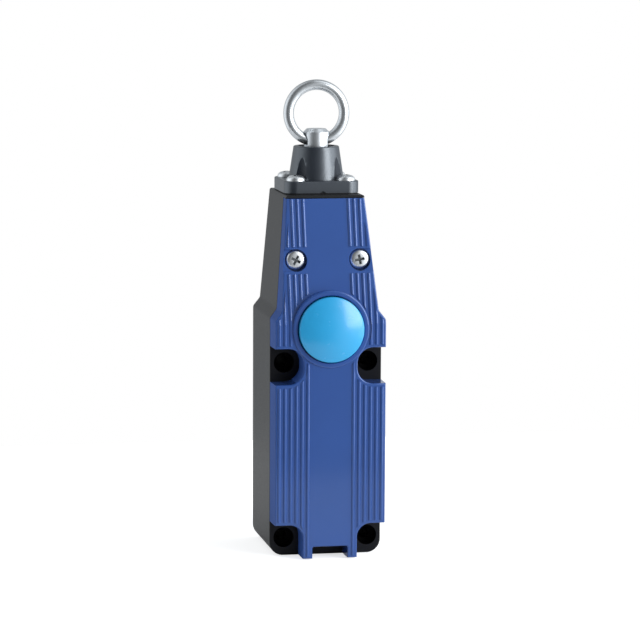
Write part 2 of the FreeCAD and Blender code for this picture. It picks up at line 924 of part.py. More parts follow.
def cam_slider():
    low = cam_bottom_height - block_height
    high = cam_top_height - block_height
    left_low = -(cam_far_x + cam_slope * low)
    left_high = -(cam_far_x + cam_slope * high)
    right_low = cam_near_x - cam_slope * low
    right_high = cam_near_x - cam_slope * high
    guide_z = height(slider_guide_height)
    top = height(slider_top_height)
    r = slider_corner_r
    corners = [
        (left_low, cam_z + low, r), (right_low, cam_z + low, r), (right_high, cam_z + high, 0),
        (slider_half_width, guide_z, 0), (slider_half_width, top, r), (-slider_half_width, top, r),
        (-slider_half_width, guide_z, 0), (left_high, cam_z + high, 0),
    ]
    back_y = slider_front_y + slider_depth
    body = front_prism(corners, slider_front_y, back_y)
    removed = [upright(rod_lower_r + running_gap, 0, neck_y, height(rod_end_height), top)]
    removed.append(level(slider_pin_r, 0, height(slider_pin_height), slider_front_y, back_y))
    half = latch_half_width + notch_side_gap
    for travel in (0, rod_travel):
        low = height(latch_tooth_height) - travel - notch_half_height
        high = height(latch_tooth_height) - travel + notch_half_height
        removed.append(box(-half, slider_front_y, low, half, slider_front_y + notch_depth, high))
    return body.cut(removed)


def slider_pin():
    start = slider_front_y + slider_pin_inset
    end = slider_front_y + slider_depth - slider_pin_inset
    return level(slider_pin_r, 0, height(slider_pin_height), start, end)


# Frame and latch

def frame_half_width():
    return slider_half_width + frame_side_gap + frame_thickness


def bridge_front_y():
    return -(latch_pin_depth + latch_half_thickness + bridge_gap)


def mechanism_frame():
    """Channel of bent steel sheet, open to the front, with a bridge for the latch spring."""
    outer = frame_half_width()
    inner = outer - frame_thickness
    low = height(frame_bottom_height)
    high = height(frame_top_height)
    bridge_low = height(bridge_height - bridge_half_height)
    arm_high = height(latch_pin_height) + 2 * latch_hub_r
    mid_y = slider_front_y - latch_gap
    front_y = bridge_front_y() - frame_thickness
    r = frame_bend_r
    corners = [
        (block_back_y, low, 0), (block_back_y, high, r), (mid_y, high, r), (mid_y, arm_high, r),
        (front_y, arm_high, r), (front_y, bridge_low, 0), (mid_y, bridge_low, r), (mid_y, low, 0),
    ]
    channel = side_prism(corners, -outer, outer)
    wall_y = block_back_y - frame_thickness
    hollow = box(-inner, bridge_front_y(), bridge_low - overrun, inner, wall_y, high + overrun)
    bridge_top = height(bridge_height + bridge_half_height)
    opening = box(-inner, front_y - overrun, bridge_top, inner, bridge_front_y(), high + overrun)
    removed = [hollow, opening]
    removed.append(crosswise(latch_pin_r, -latch_pin_depth, height(latch_pin_height), -outer, outer))
    for place in frame_pads():
        removed.append(level(screw_r + screw_hole_gap, 0, place.z, block_back_y, wall_y))
    return channel.cut(removed)


def frame_screws():
    screws = []
    for place in frame_pads():
        seat = Vector(0, block_back_y - frame_thickness, place.z)
        shank = frame_thickness + pad_height
        head = (frame_screw_head_r, frame_screw_head)
        screws.append(pan_head_screw(seat, Vector(0, -1, 0), *head, screw_r, shank))
    return screws


def latch_pin():
    outer = frame_half_width()
    return crosswise(latch_pin_r, -latch_pin_depth, height(latch_pin_height), -outer, outer)


def latch_lever():
    """Two-armed lever: the stem pushes its upper arm, and its lower arm carries the tooth."""
    y = -latch_pin_depth
    z = height(latch_pin_height)
    front = y - latch_half_thickness
    back = y + latch_half_thickness
    tooth_z = height(latch_tooth_height)
    tooth_y = slider_front_y - latch_gap
    r = latch_end_r
    half_tooth = latch_tooth_half_height
    corners = [
        (front, height(latch_bottom_height), r), (back, height(latch_bottom_height), r),
        (back, tooth_z - half_tooth, 0), (tooth_y, tooth_z - half_tooth, 0),
        (tooth_y, tooth_z, 0), (back, tooth_z + 2 * half_tooth, 0),
        (back, height(latch_top_height), r), (front, height(latch_top_height), r),
    ]
    arm = side_prism(corners, -latch_half_width, latch_half_width)
    hub = crosswise(latch_hub_r, y, z, -slider_half_width, slider_half_width)
    bore = crosswise(latch_pin_r + running_gap, y, z, -slider_half_width, slider_half_width)
    return arm.fuse(hub).cut(bore)


def latch_spring():
    z = height(bridge_height)
    start = Vector(0, bridge_front_y(), z)
    end = Vector(0, -latch_pin_depth - latch_half_thickness, z)
    return coil_spring(latch_spring_r, latch_spring_wire_r, start, end, latch_spring_turns)


# Reset button

def reset_button():
    """Domed cap with a skirt, and a stem down to the latch."""
    rim_y = cover_front_y - button_rise
    stem = rim_y + latch_pin_depth + latch_half_thickness + stem_gap
    neck = stem + stem_r
    groove_start = rim_y - stem_guide_end_y() - clip_play
    groove_end = groove_start - button_clip_thickness
    groove_r = stem_r - button_clip_groove
    inner_r = button_r - button_wall
    skirt = well_floor_y() - rim_y - button_travel - button_floor_gap
    corners = [
        (0, stem, 0), (stem_tip_r, stem, stem_tip_rounding), (stem_r, neck, 0), (stem_r, groove_end, 0),
        (groove_r, groove_end, 0), (groove_r, groove_start, 0), (stem_r, groove_start, 0),
        (stem_r, 0, 0), (inner_r, 0, 0), (inner_r, -skirt, 0),
        (button_r, -skirt, 0), (button_r, 0, 0), (0, 0, 0),
    ]
    body = turned(corners, on_button_axis(rim_y), Vector(0, -1, 0))
    sphere_r = (button_r ** 2 + button_crown ** 2) / (2 * button_crown)
    ball = Part.makeSphere(sphere_r, on_button_axis(rim_y - button_crown + sphere_r))
    disc = cylinder(button_r, on_button_axis(rim_y + button_wall), on_button_axis(rim_y - 2 * button_crown))
    button = body.fuse(ball.common(disc)).removeSplitter()
    return softened(button, button_edge_r, lambda face: isinstance(face.Surface, Part.Sphere))


def reset_spring():
    start = on_button_axis(well_floor_y())
    end = on_button_axis(cover_front_y - button_rise + button_wall)
    return coil_spring(stem_r + reset_spring_gap, reset_spring_wire_r, start, end, reset_spring_turns)


def button_seal():
    end = on_button_axis(stem_guide_end_y())
    start = on_button_axis(stem_guide_end_y() - seal_thickness)
    return tube(stem_guide_r - seal_groove_wall, stem_r + running_gap, start, end)


def button_clip():
    """Retaining clip in the stem's groove, open downwards."""
    y0 = stem_guide_end_y() + clip_play
    y1 = y0 + button_clip_thickness
    r = stem_r - button_clip_groove
    clip = tube(stem_guide_r, r, on_button_axis(y0), on_button_axis(y1))
    z = height(button_height)
    mouth_half = r * clip_mouth_share
    return clip.cut(box(-mouth_half, y0, z - stem_guide_r, mouth_half, y1, z))


# Contact blocks

def mirrored(shape, side):
    if side > 0:
        return shape
    return shape.mirror(Vector(0, 0, 0), Vector(1, 0, 0))


def plunger_shift(side):
    """How far the plunger is pressed in while the rope is slack."""
    return 0 if side > 0 else cam_far_x - cam_near_x


def nose_centre_x():
    return cam_near_x + (plunger_nose_r + plunger_gap) * math.sqrt(1 + cam_slope ** 2)


def terminal_zone(up):
    z0 = cam_z + up * terminal_start
    z1 = cam_z + up * (terminal_start + terminal_size)
    x0 = block_inner_x + block_wall + terminal_wall
    x1 = x0 + terminal_size
    y0 = block_front_y + terminal_recess
    return (x0, y0, min(z0, z1), x1, y0 + terminal_depth, max(z0, z1))


def arm_zone(up):
    x1 = bridge_contact_x - tip_gap
    x0 = x1 - contact_thickness
    z0 = cam_z + up * (plunger_half + arm_start_gap)
    z1 = cam_z + up * (terminal_start + arm_overlap)
    y0 = neck_y - contact_half_width
    y1 = neck_y + contact_half_width
    return (x0, y0, min(z0, z1), x1, y1, max(z0, z1))


def contact_block(side):
    low = cam_z - block_half_height
    high = cam_z + block_half_height
    outline = rectangle(block_inner_x, low, block_outer_x, high, block_corner_r)
    body = front_prism(outline, block_front_y, block_back_y)
    inner = block_inner_x + block_wall
    outer = block_outer_x - block_wall
    removed = [box(inner, block_front_y, cam_z - chamber_half_height, outer,
                   block_back_y - block_wall, cam_z + chamber_half_height)]
    half = plunger_half + plunger_clearance
    removed.append(box(block_inner_x, neck_y - half, cam_z - half, inner, neck_y + half, cam_z + half))
    for up in (-1, 1):
        x0, y0, z0, x1, y1, z1 = terminal_zone(up)
        removed.append(box(x0, block_front_y, z0, x1, y1, z1))
        removed.append(box(*arm_zone(up)))
        z = cam_z + up * block_screw_offset
        removed.append(level(block_screw_r + running_gap, block_screw_x, z, block_front_y, block_back_y))
    return mirrored(body.cut(removed), side)


def block_screws():
    screws = []
    for place in block_pads():
        seat = Vector(place.x, block_front_y, place.z)
        shank = block_depth + pad_height
        head = (block_screw_head_r, block_screw_head)
        screws.append(pan_head_screw(seat, Vector(0, -1, 0), *head, block_screw_r, shank))
    return screws


def plunger_bore_x():
    return bridge_contact_x + bridge_contact_thickness + plunger_bore_gap


def contact_plunger(side):
    """Square plunger with a round nose on the cam and a bore for its spring."""
    start = nose_centre_x()
    end = start + plunger_length
    y0 = neck_y - plunger_half
    y1 = neck_y + plunger_half
    bar = box(start, y0, cam_z - plunger_half, end, y1, cam_z + plunger_half)
    nose = level(plunger_nose_r, start, cam_z, y0, y1)
    bore = crosswise(plunger_spring_r + plunger_spring_gap, neck_y, cam_z, plunger_bore_x(), end)
    body = bar.fuse(nose).cut([box(*bridge_box()), bore])
    body.translate(Vector(plunger_shift(side), 0, 0))
    return mirrored(body, side)


def bridge_box():
    return (bridge_contact_x, neck_y - bridge_contact_half_width, cam_z - bridge_contact_half_length,
            bridge_contact_x + bridge_contact_thickness, neck_y + bridge_contact_half_width,
            cam_z + bridge_contact_half_length)


def contact_bridge(side):
    body = box(*bridge_box())
    body.translate(Vector(plunger_shift(side), 0, 0))
    return mirrored(body, side)


def plunger_spring(side):
    start = Vector(plunger_bore_x() + plunger_shift(side), neck_y, cam_z)
    end = Vector(block_outer_x - block_wall, neck_y, cam_z)
    spring = coil_spring(plunger_spring_r, plunger_spring_wire_r, start, end, plunger_spring_turns)
    return mirrored(spring, side)


def terminals():
    """Four clamps, each with its fixed contact reaching into the chamber."""
    pieces = []
    for side in (-1, 1):
        for up in (-1, 1):
            x0, y0, z0, x1, y1, z1 = terminal_zone(up)
            clamp = box(x0, y0, z0, x1, y1, z1)
            arm = box(*arm_zone(up))
            hole = level(terminal_screw_r, (x0 + x1) / 2, (z0 + z1) / 2, y0, y1 - screw_end_gap)
            pieces.append(mirrored(clamp.fuse(arm).cut(hole), side))
    return pieces


def terminal_screws():
    screws = []
    for side in (-1, 1):
        for up in (-1, 1):
            x0, y0, z0, x1, y1, z1 = terminal_zone(up)
            seat = Vector(side * (x0 + x1) / 2, y0, (z0 + z1) / 2)
            screws.append(pan_head_screw(seat, Vector(0, -1, 0), terminal_head_r, terminal_head,
                                         terminal_screw_r, terminal_depth - 2 * screw_end_gap))
    return screws


def grouped(solids):
    return Part.makeCompound(solids)


def all_nodes():
    return {
        "rear_housing": rear_housing(),
        "front_cover": front_cover(),
        "cover_gasket": gasket_ring(),
        "cover_screws": grouped(cover_screws()),
        "head_turret": head_turret(),
        "turret_gasket": turret_gasket(),
        "turret_screws": grouped(turret_screws()),
        "guide_bush": guide_bush(),
        "wiper_seal": wiper_seal(),
        "pull_rod": pull_rod(),
        "pull_ring": pull_ring(),
        "rod_clip": rod_clip(),
        "spring_cup": spring_cup(),
        "spring_washer": spring_washer(),
        "pull_spring": pull_spring(),
        "cam_slider": cam_slider(),
        "slider_pin": slider_pin(),
        "mechanism_frame": mechanism_frame(),
        "frame_screws": grouped(frame_screws()),
        "latch_pin": latch_pin(),
        "latch_lever": latch_lever(),
        "latch_spring": latch_spring(),
        "reset_button": reset_button(),
        "reset_spring": reset_spring(),
        "button_seal": button_seal(),
        "button_clip": button_clip(),
        "contact_block_left": contact_block(-1),
        "contact_block_right": contact_block(1),
        "block_screws": grouped(block_screws()),
        "contact_plunger_left": contact_plunger(-1),
        "contact_plunger_right": contact_plunger(1),
        "contact_bridge_left": contact_bridge(-1),
        "contact_bridge_right": contact_bridge(1),
        "plunger_spring_left": plunger_spring(-1),
        "plunger_spring_right": plunger_spring(1),
        "terminals": grouped(terminals()),
        "terminal_screws": grouped(terminal_screws()),
    }


os.makedirs("parts", exist_ok=True)
for name, shape in all_nodes().items():
    shape.exportStep(f"parts/{name}.step")
    print(name, len(shape.Solids), round(shape.Volume, 1), shape.isValid())
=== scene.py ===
import bmesh
import bpy
import json
import math
from mathutils import Matrix, Vector
from mathutils.bvhtree import BVHTree


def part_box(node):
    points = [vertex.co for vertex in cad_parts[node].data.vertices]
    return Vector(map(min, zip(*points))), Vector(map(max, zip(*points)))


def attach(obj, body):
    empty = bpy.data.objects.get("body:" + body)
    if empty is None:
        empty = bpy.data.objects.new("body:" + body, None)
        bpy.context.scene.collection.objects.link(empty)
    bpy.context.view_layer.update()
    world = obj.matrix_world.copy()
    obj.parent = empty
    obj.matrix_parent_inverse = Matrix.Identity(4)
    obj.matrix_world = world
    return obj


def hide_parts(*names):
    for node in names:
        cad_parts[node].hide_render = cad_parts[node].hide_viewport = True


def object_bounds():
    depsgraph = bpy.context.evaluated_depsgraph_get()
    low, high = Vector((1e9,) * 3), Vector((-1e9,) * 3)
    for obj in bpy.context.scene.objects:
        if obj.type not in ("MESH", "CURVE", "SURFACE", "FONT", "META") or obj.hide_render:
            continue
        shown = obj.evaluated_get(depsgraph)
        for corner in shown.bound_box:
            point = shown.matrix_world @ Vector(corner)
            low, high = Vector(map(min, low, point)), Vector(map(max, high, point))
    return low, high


# Rope pull switch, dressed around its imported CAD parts. Everything is in metres.
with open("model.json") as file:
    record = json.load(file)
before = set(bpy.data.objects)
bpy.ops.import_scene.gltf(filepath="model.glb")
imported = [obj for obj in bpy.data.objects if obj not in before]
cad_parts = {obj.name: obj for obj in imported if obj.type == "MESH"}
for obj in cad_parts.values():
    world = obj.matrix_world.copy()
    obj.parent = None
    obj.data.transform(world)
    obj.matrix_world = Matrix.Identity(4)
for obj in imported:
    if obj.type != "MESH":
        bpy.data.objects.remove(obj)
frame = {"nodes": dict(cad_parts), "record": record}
cad_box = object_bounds()
nodes = frame["nodes"]


# Camera, at the photograph's viewing angle: a long lens, a little to the left of the cover and above it.
# It looks along the photograph's own axis, so it needs no shift.
scene = bpy.context.scene
camera_data = bpy.data.cameras.new("camera")
camera = bpy.data.objects.new("camera", camera_data)
scene.collection.objects.link(camera)
scene.camera = camera
picture_width_px = 640
focal_length_px = 3230.56
camera_data.sensor_width = 36.0
camera_data.lens = focal_length_px / picture_width_px * camera_data.sensor_width
camera_azimuth = math.radians(10.81)
camera_pitch = math.radians(7.361)
camera_roll = math.radians(0.248)
camera.location = (-0.285345, -1.527556, 0.256126)
ahead = Vector((
    math.sin(camera_azimuth) * math.cos(camera_pitch),
    math.cos(camera_azimuth) * math.cos(camera_pitch),
    -math.sin(camera_pitch),
))
level_aim = ahead.to_track_quat("-Z", "Y").to_matrix()
camera.rotation_euler = (level_aim @ Matrix.Rotation(camera_roll, 3, "Z")).to_euler()


# Studio: a room with a bright white wall on the right, a paler one on the left and a dim stretch beside
# the camera. Metal gets its dark band from it, black plastic stays black head on and its sides turn grey.
scene.view_settings.view_transform = "Standard"
world = bpy.data.worlds.new("studio")
scene.world = world
world.use_nodes = True
sky = world.node_tree
sky.nodes.clear()


def new_node(tree, kind, inputs=None, **settings):
    """A node with its settings and the values of its named inputs."""
    node = tree.nodes.new(kind)
    for name, value in settings.items():
        setattr(node, name, value)
    for name, value in (inputs or {}).items():
        node.inputs[name].default_value = value
    return node


# Each wall's heading in degrees, from the switch's front towards its right side, and its brightness
walls = (
    (-180, 0.56), (-150, 0.58), (-112, 1.3), (-85, 1.2), (-62, 0.45), (-45, 0.12), (-20, 0.12), (-4, 0.22),
    (8, 0.32), (25, 0.88), (48, 1.4), (66, 2.6), (86, 2.8), (101, 1.05), (130, 0.62), (180, 0.56),
)
wall_tint = (0.93, 0.97, 1.0)
ceiling_share = 0.5
ceiling_begins = 0.35
white = (1.0, 1.0, 1.0, 1.0)
brightest = max(glow for heading, glow in walls)
direction = new_node(sky, "ShaderNodeTexCoord")
axes = new_node(sky, "ShaderNodeSeparateXYZ")
towards_front = new_node(sky, "ShaderNodeMath", operation="MULTIPLY")
towards_front.inputs[1].default_value = -1.0
heading = new_node(sky, "ShaderNodeMath", operation="ARCTAN2")
turn_range = {"From Min": -math.pi, "From Max": math.pi, "To Min": 0.0, "To Max": 1.0}
turn = new_node(sky, "ShaderNodeMapRange", turn_range)
panorama = new_node(sky, "ShaderNodeValToRGB")
stops = panorama.color_ramp.elements
while len(stops) < len(walls):
    stops.new(0.5)
for stop, (angle, glow) in zip(stops, walls):
    stop.position = (angle + 180) / 360
    stop.color = tuple(tint * glow / brightest for tint in wall_tint) + (1.0,)
fade_range = {
    "From Min": ceiling_begins, "From Max": 1.0, "To Min": brightest, "To Max": brightest * ceiling_share,
}
fade = new_node(sky, "ShaderNodeMapRange", fade_range)
room = new_node(sky, "ShaderNodeBackground")
backdrop = new_node(sky, "ShaderNodeBackground", {"Color": white})
rays = new_node(sky, "ShaderNodeLightPath")
seen_or_through = new_node(sky, "ShaderNodeMath", operation="MAXIMUM")
choice = new_node(sky, "ShaderNodeMixShader")
sky_output = new_node(sky, "ShaderNodeOutputWorld")
sky.links.new(direction.outputs["Generated"], axes.inputs["Vector"])
sky.links.new(axes.outputs["Y"], towards_front.inputs[0])
sky.links.new(axes.outputs["X"], heading.inputs[0])
sky.links.new(towards_front.outputs["Value"], heading.inputs[1])
sky.links.new(heading.outputs["Value"], turn.inputs["Value"])
sky.links.new(turn.outputs["Result"], panorama.inputs["Fac"])
sky.links.new(panorama.outputs["Color"], room.inputs["Color"])
sky.links.new(axes.outputs["Z"], fade.inputs["Value"])
sky.links.new(fade.outputs["Result"], room.inputs["Strength"])
sky.links.new(rays.outputs["Is Camera Ray"], seen_or_through.inputs[0])
sky.links.new(rays.outputs["Is Transmission Ray"], seen_or_through.inputs[1])
sky.links.new(seen_or_through.outputs["Value"], choice.inputs["Fac"])
sky.links.new(room.outputs["Background"], choice.inputs[1])
sky.links.new(backdrop.outputs["Background"], choice.inputs[2])
sky.links.new(choice.outputs["Shader"], sky_output.inputs["Surface"])

# Key light: one large upright lamp to the right of the camera, turned to the middle of the switch
key_data = bpy.data.lights.new("key_light", "AREA")
key_data.shape = "RECTANGLE"
key_data.size = 0.6
key_data.size_y = 0.9
key_data.energy = 9.0
key_light = bpy.data.objects.new("key_light", key_data)
scene.collection.objects.link(key_light)
key_light.location = (0.85, -0.9, 0.42)
lit_point = Vector((0.0, -0.04, 0.05))
key_aim = lit_point - key_light.location
key_light.rotation_euler = key_aim.to_track_quat("-Z", "Y").to_euler()

# Floor: one white sheet that keeps the switch's shadow. It glows towards the camera, and faintly in
# reflections, where its own white is nearly enough.
floor_half_width = 0.28
floor_drop = 0.0002
floor_white = (0.86, 0.86, 0.86, 1.0)
floor_glow = 0.7
reflected_share = 0.2
floor_z = cad_box[0][2] - floor_drop
floor_turns = ((-1, -1), (1, -1), (1, 1), (-1, 1))
floor_corners = [(x * floor_half_width, y * floor_half_width, floor_z) for x, y in floor_turns]
floor_mesh = bpy.data.meshes.new("floor")
floor_mesh.from_pydata(floor_corners, [], [(0, 1, 2, 3)])
floor = bpy.data.objects.new("floor", floor_mesh)
scene.collection.objects.link(floor)
floor_paint = bpy.data.materials.new("floor_paint")
floor_paint.use_nodes = True
paint = floor_paint.node_tree
paint.nodes.clear()
matt_white = new_node(paint, "ShaderNodeBsdfDiffuse", {"Color": floor_white})
lift = new_node(paint, "ShaderNodeEmission", {"Strength": floor_glow})
glowing = new_node(paint, "ShaderNodeAddShader")
floor_rays = new_node(paint, "ShaderNodeLightPath")
mirrored = new_node(paint, "ShaderNodeMath", operation="MAXIMUM")
fainter = new_node(paint, "ShaderNodeMath", operation="MULTIPLY")
fainter.inputs[1].default_value = reflected_share
glow_share = new_node(paint, "ShaderNodeMath", operation="MAXIMUM")
floor_choice = new_node(paint, "ShaderNodeMixShader")
floor_output = new_node(paint, "ShaderNodeOutputMaterial")
paint.links.new(matt_white.outputs["BSDF"], glowing.inputs[0])
paint.links.new(lift.outputs["Emission"], glowing.inputs[1])
paint.links.new(floor_rays.outputs["Is Glossy Ray"], mirrored.inputs[0])
paint.links.new(floor_rays.outputs["Is Transmission Ray"], mirrored.inputs[1])
paint.links.new(mirrored.outputs["Value"], fainter.inputs[0])
paint.links.new(floor_rays.outputs["Is Camera Ray"], glow_share.inputs[0])
paint.links.new(fainter.outputs["Value"], glow_share.inputs[1])
paint.links.new(glow_share.outputs["Value"], floor_choice.inputs["Fac"])
paint.links.new(matt_white.outputs["BSDF"], floor_choice.inputs[1])
paint.links.new(glowing.outputs["Shader"], floor_choice.inputs[2])
paint.links.new(floor_choice.outputs["Shader"], floor_output.inputs["Surface"])
floor_mesh.materials.append(floor_paint)


# Rear housing: the deep black box that screws to the wall, moulded in glass filled thermoplastic.
# Its skin has the fine matt grain of a sparked mould, with faint clouds where the melt flowed.
def moulded_plastic(name, colour, roughness, grain, grain_depth,
                    specular=0.5, sheen=(1.0, 1.0, 1.0), ior=1.5):
    """Plastic with the mould's grain as bump, and slow clouds in its colour and gloss."""
    cloudiness = 0.1
    material = bpy.data.materials.new(name)
    material.use_nodes = True
    tree = material.node_tree
    skin = tree.nodes["Principled BSDF"]
    skin.inputs["Specular IOR Level"].default_value = specular
    skin.inputs["IOR"].default_value = ior
    skin.inputs["Specular Tint"].default_value = sheen + (1.0,)
    place = new_node(tree, "ShaderNodeTexCoord")
    flow = new_node(tree, "ShaderNodeTexNoise", {"Scale": 28.0, "Detail": 3.0, "Roughness": 0.55})
    pits = new_node(tree, "ShaderNodeTexNoise", {"Scale": 1.0 / grain, "Detail": 4.0, "Roughness": 0.6})
    # The Mix node's two colours are its inputs 6 and 7, and their blend is its output 2.
    tint = new_node(tree, "ShaderNodeMix", data_type="RGBA")
    tint.inputs[6].default_value = tuple((1 - cloudiness) * c for c in colour) + (1.0,)
    tint.inputs[7].default_value = tuple((1 + cloudiness) * c for c in colour) + (1.0,)
    gloss_range = {"From Min": 0.3, "From Max": 0.7, "To Min": roughness - 0.04, "To Max": roughness + 0.06}
    gloss = new_node(tree, "ShaderNodeMapRange", gloss_range)
    bump = new_node(tree, "ShaderNodeBump", {"Strength": 0.6, "Distance": grain_depth})
    tree.links.new(place.outputs["Object"], flow.inputs["Vector"])
    tree.links.new(place.outputs["Object"], pits.inputs["Vector"])
    tree.links.new(flow.outputs["Fac"], tint.inputs["Factor"])
    tree.links.new(tint.outputs[2], skin.inputs["Base Color"])
    tree.links.new(pits.outputs["Fac"], gloss.inputs["Value"])
    tree.links.new(gloss.outputs["Result"], skin.inputs["Roughness"])
    tree.links.new(pits.outputs["Fac"], bump.inputs["Height"])
    tree.links.new(bump.outputs["Normal"], skin.inputs["Normal"])
    return material


def smooth_by_crease(mesh, crease_angle, weld_distance):
    """Smooth shading on welded corners, with sharp edges where the faces meet steeply."""
    shaded = bmesh.new()
    shaded.from_mesh(mesh)
    bmesh.ops.remove_doubles(shaded, verts=shaded.verts, dist=weld_distance)
    for face in shaded.faces:
        face.smooth = True
    for edge in shaded.edges:
        edge.smooth = edge.calc_face_angle(0.0) < math.radians(crease_angle)
    shaded.to_mesh(mesh)
    shaded.free()


def finished_copy(node, name, material, crease_angle=32):
    """A welded copy of a CAD piece, shaded smooth between its creases."""
    mesh = nodes[node].data.copy()
    mesh.name = name
    if "custom_normal" in mesh.attributes:
        mesh.attributes.remove(mesh.attributes["custom_normal"])
    smooth_by_crease(mesh, crease_angle, weld_distance=1e-6)
    mesh.materials.clear()
    mesh.materials.append(material)
    piece = bpy.data.objects.new(name, mesh)
    scene.collection.objects.link(piece)
    flat_first = piece.modifiers.new("flat_first", "WEIGHTED_NORMAL")
    flat_first.keep_sharp = True
    flat_first.weight = 100
    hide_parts(node)
    return piece


def dress_faces(piece, material, wanted):
    """The material on the faces whose middle and outward direction are wanted."""
    piece.data.materials.append(material)
    for polygon in piece.data.polygons:
        if wanted(polygon.center, polygon.normal):
            polygon.material_index = len(piece.data.materials) - 1


housing_black = (0.014, 0.0145, 0.016)
housing_skin = moulded_plastic("housing_skin", housing_black, 0.4, 0.0005, 0.00003, specular=0.25)
housing_shell = finished_copy("rear_housing", "housing_shell", housing_skin)

# The face below the cover, which shows in the cover's notches, gets a duller and darker black than the rest
# of the housing: painted shade in the notches.
front_face_painted_shade_black = (0.006, 0.0065, 0.009)
front_face_painted_shade_skin = moulded_plastic("front_face_painted_shade_skin", front_face_painted_shade_black, 0.4, 0.0005, 0.00002, specular=0.16)
front_face_y = -0.0475
facing_front = -0.9


def below_the_cover(place, outward):
    """True on the housing's front face, which shows in the cover's notches."""
    return outward.y < facing_front and place.y < front_face_y


# The mounting bores get a duller black that is darker still: painted shade, for the light that is not thrown
# back out of them.
bore_painted_shade_black = (0.0012, 0.0012, 0.0014)
bore_painted_shade_skin = moulded_plastic("bore_painted_shade_skin", bore_painted_shade_black, 0.7, 0.0006, 0.00002, specular=0.06)
bore_spacing = next(mount["dims"] for mount in frame["record"]["mounts"] if mount["name"] == "mounting_holes")
bore_x = bore_spacing["spacing_x_mm"] / 2 / 1000
bore_z = bore_spacing["spacing_y_mm"] / 2 / 1000
bore_reach = 0.00485
back_skin = 0.001


def in_a_bore(place, outward):
    """True within the widest part of a mounting bore, short of the housing's flat back."""
    beside = math.hypot(abs(place.x) - bore_x, abs(place.z) - bore_z)
    return beside < bore_reach and place.y < -back_skin


# Painted shade: a darker black on the housing's front face in the notches.
dress_faces(housing_shell, front_face_painted_shade_skin, below_the_cover)
# Painted shade: a near-black colour inside the mounting bores.
dress_faces(housing_shell, bore_painted_shade_skin, in_a_bore)
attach(housing_shell, "housing")


# Cover: the blue thermoplastic lid with its ribs, notches and the collar around the button. It is moulded
# with a plain middle and held by two screws. Its outermost skin is the glossier one and draws fine bright
# lines on the ribs' edges.
cover_blue = (0.028, 0.084, 0.315)
cover_sheen = (0.5, 0.66, 1.0)
cover_skin = moulded_plastic("cover_skin", cover_blue, 0.13, 0.0007, 0.000001, 0.65, cover_sheen)
cover_gloss = cover_skin.node_tree.nodes["Principled BSDF"]
cover_gloss.inputs["Coat Weight"].default_value = 0.6
cover_gloss.inputs["Coat Roughness"].default_value = 0.12
cover_shell = finished_copy("front_cover", "cover_shell", cover_skin)

# Its outer side walls get a duller copy of the cover's skin in a lighter blue: the lighter blue is painted
# light on the sides.
side_wall_painted_light_blue = (0.042, 0.1, 0.34)
side_wall_painted_light_skin = moulded_plastic("cover_side_wall_painted_light", side_wall_painted_light_blue, 0.6, 0.0007, 0.000001, 0.1, cover_sheen)
cover_corners = [vertex.co for vertex in cover_shell.data.vertices]
cover_faces = [tuple(face.vertices) for face in cover_shell.data.polygons]
cover_surface = BVHTree.FromPolygons(cover_corners, cover_faces)
facing_sideways = 0.5
facing_ahead = 0.6
just_off = 0.0002


def on_outer_wall(place, outward):
    """True where a side wall has nothing of the cover further out beside it."""
    faces_inwards = outward.x * place.x < 0
    if abs(outward.x) < facing_sideways or abs(outward.y) > facing_ahead or faces_inwards:
        return False
    side = Vector((math.copysign(1.0, outward.x), 0.0, 0.0))
    return cover_surface.ray_cast(place + just_off * side, side)[0] is None


# Painted light: a lighter blue on the cover's outer side walls.
dress_faces(cover_shell, side_wall_painted_light_skin, on_outer_wall)
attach(cover_shell, "housing")


# Seals: black rubber, cut flat under the turret and moulded in the cover's rim, the button's guide
# and the top of the neck. They are dull, with a dusting of talc in their pores.
seal_black = (0.012, 0.012, 0.013)
seal_skin = moulded_plastic("seal_skin", seal_black, 0.72, 0.0009, 0.00004, specular=0.35)
for node in ("cover_gasket", "turret_gasket", "wiper_seal", "button_seal"):
    seal = finished_copy(node, node + "_rubber", seal_skin)
    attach(seal, "housing")


# Turret: the dark grey head with its square flange and tapered neck, moulded in one piece.
# Its satin skin is a little coarser than the cover's, and pockets in the neck leave room for the screws.
turret_grey = (0.014, 0.018, 0.027)
turret_sheen = (0.86, 0.93, 1.0)
turret_skin = moulded_plastic("turret_skin", turret_grey, 0.32, 0.0006, 0.00003, 0.75, turret_sheen, 1.75)
turret_body = finished_copy("head_turret", "turret_body", turret_skin)


def middle(node):
    """The middle of a CAD node's box."""
    low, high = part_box(node)
    return [(a + b) / 2 for a, b in zip(low, high)]


# Round pins in the mould form the four pockets, and leave them a little duller.
pocket_skin = moulded_plastic("turret_pocket_skin", turret_grey, 0.4, 0.0006, 0.00003, 0.3, turret_sheen, 1.5)
turret_low, turret_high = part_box("head_turret")
neck_axis = middle("head_turret")
screw_inset = 0.0059
above_the_flange = 0.0058
pocket_reach = 0.00544
screw_offset = (turret_high[0] - turret_low[0]) / 2 - screw_inset
pocket_floor_z = turret_low[2] + above_the_flange


def in_a_screw_pocket(place, outward):
    """True on the neck around a screw's axis, above the flange."""
    across = abs(place.x - neck_axis[0]) - screw_offset
    along = abs(place.y - neck_axis[1]) - screw_offset
    return place.z > pocket_floor_z and math.hypot(across, along) < pocket_reach


dress_faces(turret_body, pocket_skin, in_a_screw_pocket)
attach(turret_body, "housing")


